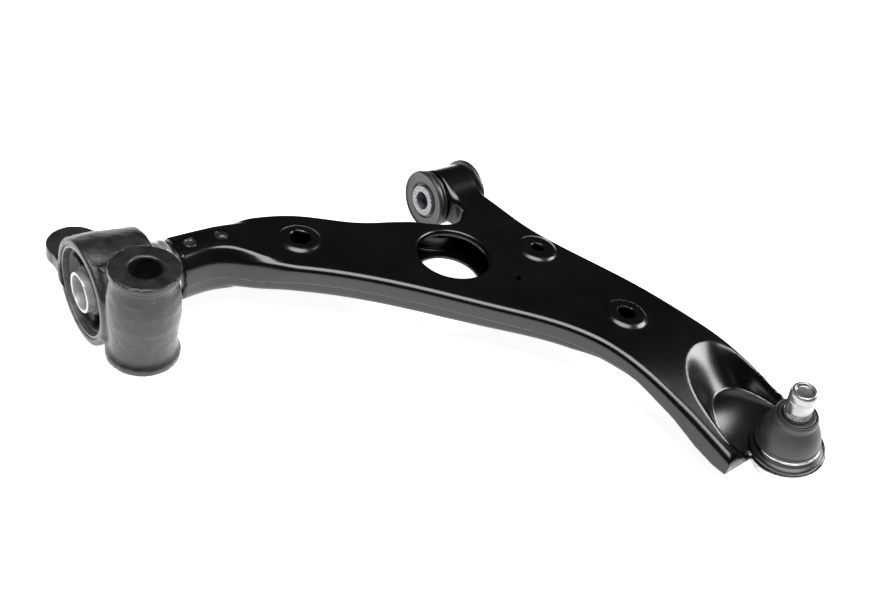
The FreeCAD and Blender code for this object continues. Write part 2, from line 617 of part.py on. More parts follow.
seat_block = joint_turned("seat_block", [("0", "-24"), ("15", "-24"), ("15", "-5.5"), ("0", "-5.5")])
seat_ball = doc.addObject("Part::Sphere", "seat_ball")
seat_ball.setExpression("Radius", bound("ball_dia / 2 + running_gap"))
seat_ball.Placement = on_joint(-size("ball_depth"))
kept(cut("seat", seat_block, seat_ball), "ball_seat")

kept(joint_turned("end_cap", [("0", "-26.6"), ("9", "-26.2"), ("16.4", "-25"), ("17.5", "-24"),
                              ("0", "-24")]),
     "ball_joint_end_cap")

stud_profile = [("0", "-14"), ("7.2", "-14"), ("7.2", "3"), ("stud_dia / 2 + 0.3", "16"),
                ("stud_dia / 2 + 0.3", "21"),
                ("stud_dia / 2 + 0.2", "21"), ("stud_dia / 2 + 0.2", "29"), ("stud_dia / 2 - 0.6", "29.6"),
                ("stud_dia / 2 - 0.6", "30.8"), ("stud_dia / 2", "31.4"), ("stud_dia / 2", "stud_top - 2"),
                ("stud_dia / 2 - 1.4", "stud_top"), ("5.6", "stud_top"), ("4.8", "stud_top - 2"),
                ("0", "stud_top - 2.2")]
stud_shank = joint_turned("stud_shank", stud_profile)
stud_ball = doc.addObject("Part::Sphere", "stud_ball")
stud_ball.setExpression("Radius", bound("ball_dia / 2"))
stud_ball.Placement = on_joint(-size("ball_depth"))
kept(fused("stud", stud_shank, stud_ball), "ball_stud")

clip_ring = doc.addObject("Part::Torus", "clip_ring")
clip_ring.setExpression("Radius1", bound("joint_body_dia / 2 + 0.3"))
clip_ring.Radius2 = 0.95
clip_ring.Placement = on_joint(-1.1)
kept(clip_ring, "boot_base_clip")

BOOT_BORE = "(stud_dia / 2 + 0.2 + running_gap)"
boot_profile = [("16", "0.1"), ("boot_dia / 2 - 0.3", "0.1"), ("boot_dia / 2", "1.5"),
                ("boot_dia / 2 - 0.4", "6"),
                ("boot_dia / 2 - 1.8", "11"), ("boot_dia / 2 - 4", "15"), ("boot_dia / 2 - 5.8", "18"),
                ("boot_dia / 2 - 6.8", "21.5"), ("boot_dia / 2 - 6.8", "boot_top - 1"),
                ("boot_dia / 2 - 7.6", "boot_top"), ("13.2", "boot_top"), ("13.2", "boot_top - 1.4"),
                (f"{BOOT_BORE} + 0.1", "boot_top - 1.4"), (f"{BOOT_BORE} + 0.1", "boot_top - 5"),
                ("12.4", "19"),
                ("boot_dia / 2 - 6.4", "14"), ("boot_dia / 2 - 3.6", "9"), ("boot_dia / 2 - 2.6", "4"),
                ("16", "2.2")]
kept(joint_turned("boot", boot_profile), "dust_boot")
kept(joint_turned("neck_ring", [(BOOT_BORE, "boot_top - 1.3"), ("13.1", "boot_top - 1.3"),
                                ("13.1", "boot_top - 0.2"),
                                ("12.7", "boot_top + 0.2"), (f"{BOOT_BORE} + 0.4", "boot_top + 0.2"),
                                (BOOT_BORE, "boot_top - 0.2")]), "boot_neck_ring")

doc.recompute()

for obj in doc.Objects:
    if "Invalid" in obj.State or "Error" in obj.State:
        raise RuntimeError(f"{obj.Name} didn't build: {obj.State}")
for obj in NODES:
    if obj.Shape.isNull() or not obj.Shape.isValid() or not obj.Shape.Solids:
        raise RuntimeError(f"{obj.Label} isn't a sound solid")
for pressing in (upper_shell, lower_shell):
    if len(pressing.Shape.Solids) != 1:
        raise RuntimeError(f"{pressing.Label} fell apart")
if rear_rubber.Shape.Volume > 0.9 * solid_rubber:
    raise RuntimeError("the voids didn't cut the rear rubber")

os.makedirs("parts", exist_ok=True)
for obj in NODES:
    obj.Shape.exportStep(f"parts/{obj.Label}.step")
    print(obj.Label, len(obj.Shape.Solids), round(obj.Shape.Volume))
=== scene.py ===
"""A pressed-steel suspension arm with a front bush, a cast rear bracket and a ball joint."""
import math

import bpy
import numpy as np
from mathutils import Matrix, Vector


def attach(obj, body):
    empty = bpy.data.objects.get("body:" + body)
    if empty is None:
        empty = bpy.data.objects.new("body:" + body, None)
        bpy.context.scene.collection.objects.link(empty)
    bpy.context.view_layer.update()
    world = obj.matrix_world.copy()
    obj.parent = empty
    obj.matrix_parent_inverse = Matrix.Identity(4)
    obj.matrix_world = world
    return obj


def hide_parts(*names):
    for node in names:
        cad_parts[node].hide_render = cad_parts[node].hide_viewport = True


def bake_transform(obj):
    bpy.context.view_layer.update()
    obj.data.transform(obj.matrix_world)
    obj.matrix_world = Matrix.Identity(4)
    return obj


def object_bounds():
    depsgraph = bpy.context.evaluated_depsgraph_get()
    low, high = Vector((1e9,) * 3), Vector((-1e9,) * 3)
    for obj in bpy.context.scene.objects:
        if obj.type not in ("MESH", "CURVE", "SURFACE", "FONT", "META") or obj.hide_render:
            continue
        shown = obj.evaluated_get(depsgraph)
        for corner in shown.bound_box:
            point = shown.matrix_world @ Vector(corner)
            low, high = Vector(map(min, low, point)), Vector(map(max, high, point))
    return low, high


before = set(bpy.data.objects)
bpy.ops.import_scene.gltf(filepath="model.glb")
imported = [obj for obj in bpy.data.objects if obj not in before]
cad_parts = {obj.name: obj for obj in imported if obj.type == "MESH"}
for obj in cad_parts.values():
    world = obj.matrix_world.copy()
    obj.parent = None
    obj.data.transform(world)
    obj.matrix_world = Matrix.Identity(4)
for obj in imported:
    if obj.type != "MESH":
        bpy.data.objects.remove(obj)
CAD_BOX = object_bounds()
MM = 0.001

# ---------------------------------------------------------------- sizes, in millimetres as in the CAD
REAR = -276.5
TOP = 14.2
SHEET = 3.0
ROLL, FAR_ROLL = 5.0, 3.0
LEG_END = -235.0
EYE_RADIUS, EYE_HALF, EYE_BORE = 21.5, 14.0, 17.95
HOLE_SPOT, HOLE_RADIUS = (77.4, -57.4), 26.5
PADS = [(20.6, -151.2, 7.2), (98.2, 6.5, 4.5), (182.4, 17.7, 6.2)]
GAUGE_HOLE = (118.5, -29.4, 2.5)
DRAINS = [(50, -110), (140, -18), (200, 24)]
PLUGS = [-224.0, -201.0]
COLUMN_SPOT = (50.6, -279.5)
EAR_SPOT = (-53.5, -280.0)
JOINT = np.array((313.0, 50.0, -2.0))
LIP_CENTRE, LIP_RADIUS = (311.3, 55.6), 27.6
SCOOP_SPOT, SCOOP_RUN, SCOOP_RADIUS = (284, 49.5), (28, 6), 27
NOTCH_SPOT = (305, 20)
PAD_RISE, PAD_FLAT, PAD_SLOPE = 1.8, 12, 4.7
EAR_RADIUS, EAR_HOLE, COLUMN_BORE, RING_BORE = 18.2, 7.3, 9.6, 30.55
BALL_RADIUS, BALL_DEPTH = 12.35, 11.5
AXIS = np.array((-0.08095589, -0.19989109, 0.97646797))
INBOARD_EDGE = [(45.5, -30), (33, -59.5), (17, -100.3), (-6, -137), (-15.8, -167.5), (-19, -200),
                (-19.5, -235)]
OUTBOARD_EDGE = [(20, -207), (31.5, -192), (56, -157), (98, -106), (139, -65), (166, -39), (196, -20),
                 (224, -11.5), (266, -1), (304, 6)]
FORWARD_EDGE = [(307.5, 82.9), (298, 82), (267.7, 76.8), (230.3, 71), (197.3, 63.6), (163.8, 54.4),
                (128.8, 41.2),
                (103, 30.7), (75.8, 21.7), (49.7, 17), (27.5, 13.5)]


# ---------------------------------------------------------------- distance fields
def ease(t):
    t = np.clip(t, 0, 1)
    return t * t * (3 - 2 * t)


def both(a, b, radius):
    """What two solids share, with the edge between them rounded."""
    return np.minimum(np.maximum(a, b), -radius) + np.hypot(np.maximum(a + radius, 0),
                                                            np.maximum(b + radius, 0))


def joined(a, b, reach):
    """The union of two solids, with a fillet where they meet."""
    near = np.maximum(reach - np.abs(a - b), 0) / reach
    return np.minimum(a, b) - near * near * reach / 4


def lumps(x, y, z, size, seed):
    """Smooth random height between -1 and 1, in lumps of about one size."""
    table = np.random.default_rng(seed).uniform(-1, 1, (32, 32, 32))
    cell, part = [], []
    for value in (x, y, z):
        scaled = value / size + 1000.0
        whole = np.floor(scaled)
        cell.append(whole.astype(int))
        part.append(ease(scaled - whole))
    total = 0.0
    for corner in range(8):
        step = (corner & 1, corner >> 1 & 1, corner >> 2 & 1)
        weight = 1.0
        for share, side in zip(part, step):
            weight = weight * (share if side else 1 - share)
        total = total + weight * table[tuple((c + s) % 32 for c, s in zip(cell, step))]
    return total


def curve(points, step=1.5):
    """Points along a smooth curve with even curvature through the given ones."""
    spots = np.array(points, float)
    count = len(spots)
    runs = np.linalg.norm(np.diff(spots, axis=0), axis=1)
    matrix = np.zeros((count, count))
    rhs = np.zeros((count, 2))
    slopes = np.diff(spots, axis=0) / runs[:, None] ** 2
    for place in range(1, count - 1):
        before, after = 1 / runs[place - 1], 1 / runs[place]
        matrix[place, place - 1:place + 2] = (before, 2 * (before + after), after)
        rhs[place] = 3 * (slopes[place - 1] + slopes[place])
    matrix[0, :2] = matrix[-1, :-3:-1] = (2, 1)
    rhs[0] = 3 * slopes[0] * runs[0]
    rhs[-1] = 3 * slopes[-1] * runs[-1]
    tangents = np.linalg.solve(matrix, rhs)
    out = []
    for place, run in enumerate(runs):
        t = np.linspace(0, 1, max(2, int(run / step)), endpoint=False)[:, None]
        out.append((2 * t ** 3 - 3 * t ** 2 + 1) * spots[place] + (3 * t ** 2 - 2 * t ** 3) * spots[place + 1]
                   + (t ** 3 - 2 * t ** 2 + t) * run * tangents[place]
                   + (t ** 3 - t ** 2) * run * tangents[place + 1])
    return np.vstack(out + [spots[-1:]])


def arm_plan():
    """The arm's outline in plan, its leg carried on past the open end."""
    turns = np.radians(np.linspace(-103.2, 98, 60))
    lip = np.stack([LIP_CENTRE[0] + LIP_RADIUS * np.cos(turns), LIP_CENTRE[1] + LIP_RADIUS * np.sin(turns)],
                   1)
    eye = np.array([(9.5, 13.5), (9.5, -13.5)])
    return np.vstack([[(-19.5, -290), (19.5, -290)], curve([(19.5, -235)] + OUTBOARD_EDGE), lip,
                      curve(FORWARD_EDGE), eye, curve([(35.5, -13.5)] + INBOARD_EDGE)])


def signed_distance(points, x, y):
    """Distance to a closed outline, negative inside."""
    best = np.full(x.shape, 1e9)
    inside = np.zeros(x.shape, bool)
    for (ax, ay), (bx, by) in zip(points, np.roll(points, -1, 0)):
        ex, ey = bx - ax, by - ay
        if abs(ex) + abs(ey) < 1e-6:
            continue
        px, py = x - ax, y - ay
        t = np.clip((px * ex + py * ey) / (ex * ex + ey * ey), 0, 1)
        best = np.minimum(best, (px - ex * t) ** 2 + (py - ey * t) ** 2)
        if ey:
            inside ^= ((ay > y) != (by > y)) & (px < ex * py / ey)
    return np.where(inside, -1, 1) * np.sqrt(best)


class Sheet:
    """A smooth table over the plan, read between its points."""
    low, step = (-44.0, -256.0), 1.0
    shape = (400, 350)

    def __init__(self, function):
        x = self.low[0] + self.step * np.arange(self.shape[0])
        y = self.low[1] + self.step * np.arange(self.shape[1])
        self.values = function(*np.meshgrid(x, y, indexing="ij"))

    def __call__(self, x, y):
        u = np.clip((x - self.low[0]) / self.step, 1, self.shape[0] - 3.001)
        v = np.clip((y - self.low[1]) / self.step, 1, self.shape[1] - 3.001)
        i, j = np.floor(u).astype(int), np.floor(v).astype(int)
        total = 0.0
        for a, along in enumerate(self.weights(u - i), start=-1):
            for b, across in enumerate(self.weights(v - j), start=-1):
                total = total + along * across * self.values[i + a, j + b]
        return total

    @staticmethod
    def weights(t):
        return (-t * (1 - t) ** 2 / 2, (2 - 5 * t * t + 3 * t ** 3) / 2,
                t * (1 + 4 * t - 3 * t * t) / 2, t * t * (t - 1) / 2)


def joint_floor(x, y, level=-9.0):
    """Height of the flat round the ball joint, which blends to a level at its inboard end."""
    flat = JOINT[2] + (level - AXIS[0] * (x - JOINT[0]) - AXIS[1] * (y - JOINT[1])) / AXIS[2]
    return flat + (-8.5 - flat) * ease((300 - x) / 38)


def scoop_edge(x, y):
    """Plan distance to the horseshoe crease round the ball joint, which draws in on its forward side."""
    sx, sy = SCOOP_SPOT
    rx, ry = SCOOP_RUN
    run = np.clip(((x - sx) * rx + (y - sy) * ry) / (rx ** 2 + ry ** 2), 0, 1)
    return np.hypot(x - sx - rx * run, y - sy - ry * run) - SCOOP_RADIUS + 2.0 * ease((y - 55) / 20)


def ridge_top(x, y):
    """Height of the plate, which runs down beside the ball joint, later on the forward side."""
    start = 225 + 0.2 * np.clip(y, 0, 85)
    ramp = 12 * np.logaddexp(0, (x - start) / 12)
    return TOP - (0.345 - 0.00106 * y) * ramp


def leg_share(y):
    """How much of the leg's own section there is: all at its open end, none in the plate."""
    return ease((-168 - y) / 36)


def leg_crown(u):
    """Height of the leg against the distance from its middle: a broad crown, then steep flats."""
    across = (0, 6, 11.2, 12.6, 16.9, 18.4, 19.4, 26)
    up = (18.6, 18.2, 17.2, 15.6, 9.2, 4.6, 0.3, -30)
    return sum(np.interp(np.abs(u + shift), across, up) for shift in (-0.8, -0.5, -0.2, 0.2, 0.5, 0.8)) / 6


def upper_top(x, y):
    """Height of the upper pressing's outer face."""
    height = ridge_top(x, y)
    away = scoop_edge(x, y)
    sx, sy = SCOOP_SPOT
    facing = np.clip((sx - x) / np.maximum(np.hypot(x - sx, y - sy), 1), 0, 1)
    width = 8.5 - 0.06 * (y - 46) - 0.08 * np.maximum(y - 46,
                                                      0) + 22 * facing ** (2 + 3 * ease((y - 50) / 20))
    fall = np.clip(away / width, 0, 1)
    floor = joint_floor(x, y)
    height = floor + (height - floor) * (1 - (1 - fall) ** (1.7 - 0.4 * facing))
    for cx, cy, hole in PADS:
        height = height + PAD_RISE * (1 - ease((np.hypot(x - cx, y - cy) - PAD_FLAT) / PAD_SLOPE))
    return height + (leg_crown(np.maximum(19.5 + PLAN(x, y), 0)) - height) * leg_share(y)


def seam_height(x, y):
    """Height of the upper pressing's lower edge."""
    level = -3.5 + 4.8 * ease((y + 205) / 45) - 9.0 * ease((50 - np.hypot(x, y)) / 12)
    skirt = level - np.interp(x, (215, 228, 237, 258, 278, 293, 310), (0.5, 2.2, 5.0, 12, 21, 25.2, 26.4))
    under = joint_floor(x, y) - 3.6
    skirt = skirt + np.minimum(under - skirt, 0) * ease((9 - scoop_edge(x, y)) / 5)
    lip = joint_floor(x, y) - 3.4
    notch = joint_floor(x, y) - 2.2
    lip = lip + (notch - lip) * (1 - ease((np.hypot(x - NOTCH_SPOT[0], y - NOTCH_SPOT[1]) - 7) / 6))
    return skirt + (lip - skirt) * ease((x - 302.5) / 4)


PLAN = Sheet(lambda x, y: signed_distance(arm_plan(), x, y))
UPPER_TOP = Sheet(upper_top)
SLOPE = Sheet(lambda x, y: np.sqrt(1 + sum(g * g for g in np.gradient(upper_top(x, y), Sheet.step))))


def upper_solid(x, y, z):
    """The upper pressing before it is hollowed."""
    edge = PLAN(x, y)
    facing_away = ease(((y - 0.55 * x) + 22) / 20) * (1 - leg_share(y))
    roll = ROLL + (FAR_ROLL - ROLL) * facing_away - 1.0 * ease((x - 300) / 10) - 2.8 * leg_share(y)
    face = (z - UPPER_TOP(x, y)) / SLOPE(x, y)
    solid = both(edge, face, roll)
    hole = HOLE_RADIUS - np.hypot(x - HOLE_SPOT[0], y - HOLE_SPOT[1])
    return both(solid, hole, 2.4)


def eye_distance(x, y, z):
    """Distance from the front bush's axis, near the eye only."""
    return np.hypot(x, z) + np.maximum(np.abs(y) - 40, 0)


def upper_field(x, y, z):
    body = upper_solid(x, y, z)
    eye = eye_distance(x, y, z)
    tube = both(eye - EYE_RADIUS, np.abs(y) - EYE_HALF, 1.6)
    cavity = np.maximum(body + SHEET, EYE_RADIUS + 0.2 - eye)
    shell = np.maximum(joined(body, tube, 9.0), -cavity)
    shell = both(shell, seam_height(x, y) - z, 1.2)
    shell = both(shell, LEG_END - y, 1.0)
    spot = np.hypot(x - HOLE_SPOT[0], y - HOLE_SPOT[1])
    shell = both(shell, np.minimum(31 - spot, 9.0 - z), 0.8)
    for cx, cy, radius in PADS + [GAUGE_HOLE] + [(0, along, 4.9) for along in PLUGS]:
        shell = both(shell, radius - np.hypot(x - cx, y - cy), 0.8)
    wx, wy, wz = x - JOINT[0], y - JOINT[1], z - JOINT[2]
    along = wx * AXIS[0] + wy * AXIS[1] + wz * AXIS[2]
    across = np.sqrt(np.maximum(wx * wx + wy * wy + wz * wz - along * along, 0))
    shell = both(shell, 20.3 - across, 0.8)
    ring = both(tube, EYE_BORE - eye, 1.0)
    return np.minimum(np.maximum(shell, EYE_BORE - eye), ring)


def lower_base(x, y):
    """Height of the lower pressing's underside: round under the leg, flat, then climbing outboard."""
    share = leg_share(y)
    u = np.clip(np.abs(x) / 18.5, 0, 1)
    flat = -10.8 + np.interp(x, (110, 178, 196, 240), (0, 2.8, 5.8, 6.5))
    return flat + (-14.4 - 4.6 * np.sqrt(np.maximum(1 - u ** 2.4, 0)) - flat) * share


def lower_field(x, y, z):
    edge = PLAN(x, y) + SHEET + 0.15
    share = leg_share(y)
    solid = both(edge - 1.4 * share, lower_base(x, y) - z, ROLL + 1.0 * share)
    spot = np.hypot(x - HOLE_SPOT[0], y - HOLE_SPOT[1])
    solid = both(solid, HOLE_RADIUS - 3.4 - spot, 3.0)
    shell = np.maximum(solid, -(solid + SHEET))
    shell = both(shell, z - seam_height(x, y) - 5.0, 1.0)
    shell = both(shell, LEG_END - y, 1.0)
    shell = both(shell, np.minimum(29 - spot, z + 7.0), 0.8)
    shell = both(shell, x - 236 - 4 * np.sin(y / 9), 1.0)
    for cx, cy in DRAINS:
        shell = both(shell, 5 - np.hypot(x - cx, y - cy), 0.8)
    return both(shell, EYE_RADIUS + 0.25 - eye_distance(x, y, z), 0.8)


def seam_field(x, y, z):
    """The weld tucked under the upper wall's edge, along both sides of the middle."""
    ripple = 0.3 * np.sin((x * 0.8 + y * 0.6) * 2.3) + 0.25 * lumps(x, y, z, 4.0, 3)
    bead = np.hypot(PLAN(x, y) + 2.7, z - seam_height(x, y) + 0.8) - 1.1 - 0.3 * ripple
    ends = np.maximum(np.maximum(-185 - y, x - 204), 36 - np.hypot(x, y))
    return both(bead, ends, 1.0)


def ring_distance(y, across, radius, half_length, rounding):
    return both(across - radius, np.abs(y - REAR) - half_length, rounding)


def column_radius(z):
    """Half width of the bracket's column against height."""
    heights = (-15, -14.2, -10.8, -8.6, -6.5, 0, 8, 18, 30, 38, 43, 46, 48.0, 48.8, 53)
    radii = (22.2, 22.7, 22.7, 21.3, 20.4, 20.4, 20.9, 21.8, 21.8, 20.8, 19.7, 19.4, 20.4, 21.2, 21.2)
    return np.interp(z, heights, radii)


def ring_radius(y):
    """Outer half width of the bracket's ring, which narrows forward."""
    return np.interp(y - REAR, (-22, -13, -4, 8, 14, 22), (35.3, 35.7, 35.6, 34.2, 33.4, 33.0))


def bracket_field(x, y, z):
    ring_across = np.hypot(x, z)
    ring = ring_distance(y, ring_across, ring_radius(y), 22.0, 1.6)
    cx, cy = x - COLUMN_SPOT[0], y - COLUMN_SPOT[1]
    radial = np.hypot(cx, cy)
    column = both(radial - column_radius(z), np.maximum(z - 52.9, -14.9 - z), 0.9)
    side = np.arctan2(cy, cx)
    for angle in (-14, -170):
        along = (side - math.radians(angle)) * 20
        column = column - 0.4 * np.exp(-(along / 0.7) ** 2) * ease((z + 7) / 4) * ease((44 - z) / 4)
    web = np.maximum(np.maximum(np.abs(x - 34) - 14, np.abs(y - REAR + 3) - 12), np.abs(z - 11) - 20)
    casting = joined(ring, joined(column, web, 6.0), 8.0)
    ex, ey = x - EAR_SPOT[0], y - EAR_SPOT[1]
    disc = np.hypot(ex, ey) - EAR_RADIUS
    arm = np.maximum(np.abs(ey) - 17.2, np.maximum(-ex, ex - 30))
    ear = both(np.minimum(disc, arm), np.maximum(z + 3.8, -14.8 - z), 1.4)
    casting = joined(casting, ear, 7.0)
    rough = 0.13 * lumps(x, y, z, 2.4, 11) + 0.2 * lumps(x, y, z, 6.5, 12)
    machined = np.maximum(ease((-19.8 - (y - REAR)) / 1.2) * ease((40 - ring_across) / 2),
                          0.6 * ease((z - 52) / 0.6))
    casting = casting + rough * (1 - machined)
    casting = np.maximum(casting, np.maximum(z - 53.0, np.minimum(-15.0 - z, ring)))
    casting = both(casting, RING_BORE - ring_across, 0.6)
    casting = both(casting, COLUMN_BORE - radial, 1.8)
    return both(casting, EAR_HOLE - np.hypot(ex, ey), 1.0)


def rubber_field(x, y, z):
    """The rear bush's rubber, with a hollow on each side and two kidney-shaped voids."""
    across = np.hypot(x, z)
    turn = np.arctan2(z, x)
    middle = np.abs(across - 21)
    half_length = 17.8 - 3.4 * ease((6.8 - middle) / 4.5)
    body = both(np.maximum(across - 28.85, 13.5 - across), np.abs(y - REAR) - half_length, 1.0)
    for centre in (math.radians(128), math.radians(-52)):
        away = np.abs((turn - centre + np.pi) % (2 * np.pi) - np.pi)
        void = both(np.abs(across - 21.4) - 4.6, (away - math.radians(30)) * 21.4, 2.4)
        body = both(body, -void, 1.0)
    return body


# ---------------------------------------------------------------- meshes
def add_mesh(name, vertices, faces, smooth_below=35):
    """A new object from points in millimetres, shaded smooth with its sharp edges kept."""
    mesh = bpy.data.meshes.new(name)
    mesh.from_pydata(np.asarray(vertices) * MM, [], faces)
    mesh.validate()
    mesh.shade_smooth()
    mesh.set_sharp_from_angle(angle=math.radians(smooth_below))
    thing = bpy.data.objects.new(name, mesh)
    bpy.context.scene.collection.objects.link(thing)
    return thing


def meshed(name, field, low, high, step):
    """The zero surface of a distance field as quads, each point drawn onto the surface."""
    grid = [np.arange(a, b + step, step) for a, b in zip(low, high)]
    value = field(grid[0][:, None, None], grid[1][None, :, None], grid[2][None, None, :])
    inside = value < 0
    cells = tuple(size - 1 for size in value.shape)
    count = np.zeros(cells, np.int8)
    for corner in range(8):
        i, j, k = corner & 1, corner >> 1 & 1, corner >> 2 & 1
        count += inside[i:cells[0] + i, j:cells[1] + j, k:cells[2] + k]
    mixed = (count > 0) & (count < 8)
    spots = np.argwhere(mixed)
    index = np.full(cells, -1)
    index[mixed] = np.arange(len(spots))
    total, hits = np.zeros((len(spots), 3)), np.zeros(len(spots))
    for axis in range(3):
        b, c = (axis + 1) % 3, (axis + 2) % 3
        for side in range(4):
            start = np.zeros(3, int)
            start[b], start[c] = side & 1, side >> 1
            stop = start.copy()
            stop[axis] = 1
            first = value[tuple((spots + start).T)]
            last = value[tuple((spots + stop).T)]
            crossed = (first < 0) != (last < 0)
            share = np.where(crossed, first / np.where(crossed, first - last, 1), 0)
            point = np.repeat(start[None, :].astype(float), len(spots), 0)
            point[:, axis] += share
            total += point * crossed[:, None]
            hits += crossed
    points = np.array(low) + (spots + total / hits[:, None]) * step
    faces = []
    for axis in range(3):
        b, c = (axis + 1) % 3, (axis + 2) % 3
        front, back = [slice(None)] * 3, [slice(None)] * 3
        front[axis], back[axis] = slice(0, -1), slice(1, None)
        front[b] = front[c] = back[b] = back[c] = slice(1, -1)
        first, last = inside[tuple(front)], inside[tuple(back)]
        for leaving in (True, False):
            edges = np.argwhere(first & ~last if leaving else last & ~first)
            edges[:, b] += 1
            edges[:, c] += 1
            ring = []
            for db, dc in ((-1, -1), (0, -1), (0, 0), (-1, 0)):
                cell = edges.copy()
                cell[:, b] += db
                cell[:, c] += dc
                ring.append(index[tuple(cell.T)])
            quads = np.stack(ring if leaving else ring[::-1], 1)
            faces.append(quads)
    for _ in range(2):
        height = field(*points.T)
        slope = np.stack([(field(*(points + reach).T) - field(*(points - reach).T)) / 0.5
                          for reach in np.eye(3) * 0.25], 1)
        steep = np.maximum((slope * slope).sum(1), 0.3)
        points -= np.clip(height / steep, -0.4 * step, 0.4 * step)[:, None] * slope
    return add_mesh(name, points, np.vstack(faces).tolist(), 50)


def rounded(corners, steps=4):
    """A profile with its corners eased. Each corner is (radius, height) or (radius, height, easing)."""
    count = len(corners)
    out = []
    for place, corner in enumerate(corners):
        here = np.array(corner[:2], float)
        easing = corner[2] if len(corner) > 2 else 0
        if not easing:
            out.append(here)
            continue
        before = np.array(corners[place - 1][:2], float) - here
        after = np.array(corners[(place + 1) % count][:2], float) - here
        start = here + before * min(0.48, easing / np.linalg.norm(before))
        stop = here + after * min(0.48, easing / np.linalg.norm(after))
        for t in np.linspace(0, 1, steps + 1):
            out.append((1 - t) ** 2 * start + 2 * t * (1 - t) * here + t * t * stop)
    return out


def turned(name, corners, place, segments=112, wobble=None):
    """A closed body of revolution about the local Z axis of a placement."""
    profile = rounded(corners)
    turns = np.arange(segments) * 2 * math.pi / segments
    basis, origin = place
    vertices, rings = [], []
    for radius, height in profile:
        if radius < 1e-6:
            rings.append([len(vertices)])
            vertices.append(origin + basis[2] * height)
            continue
        rings.append(list(range(len(vertices), len(vertices) + segments)))
        for turn in turns:
            grow = wobble(turn, height) if wobble else 0.0
            spread = (radius + grow) * (math.cos(turn) * basis[0] + math.sin(turn) * basis[1])
            vertices.append(origin + spread + basis[2] * height)
    faces = []
    for first, second in zip(rings, rings[1:] + rings[:1]):
        if len(first) == 1 and len(second) == 1:
            continue
        for side in range(segments):
            following = (side + 1) % segments
            if len(first) == 1:
                faces.append((first[0], second[following], second[side]))
            elif len(second) == 1:
                faces.append((first[side], first[following], second[0]))
            else:
                faces.append((first[side], first[following], second[following], second[side]))
    return add_mesh(name, vertices, faces)


def frame_along(axis, origin):
    """A placement whose local Z runs along an axis from an origin."""
    z = np.array(axis, float)
    z /= np.linalg.norm(z)
    x = np.cross((0.0, 1.0, 0.0) if abs(z[1]) < 0.9 else (0.0, 0.0, 1.0), z)
    x /= np.linalg.norm(x)
    return (x, np.cross(z, x), z), np.array(origin, float)


ON_JOINT = frame_along(AXIS, JOINT)


def along_y(start):
    return frame_along((0, 1, 0), (0, start, 0))


# ---------------------------------------------------------------- materials
def node_material(name):
    """An empty material with its shader, and a helper that adds nodes to it."""
    material = bpy.data.materials.new(name)
    material.use_nodes = True
    tree = material.node_tree
    shader = tree.nodes["Principled BSDF"]

    def add(kind, **settings):
        node = tree.nodes.new(kind)
        for key, setting in settings.items():
            if key in node.inputs:
                node.inputs[key].default_value = setting
            else:
                setattr(node, key, setting)
        return node

    return material, shader, add, tree.links.new


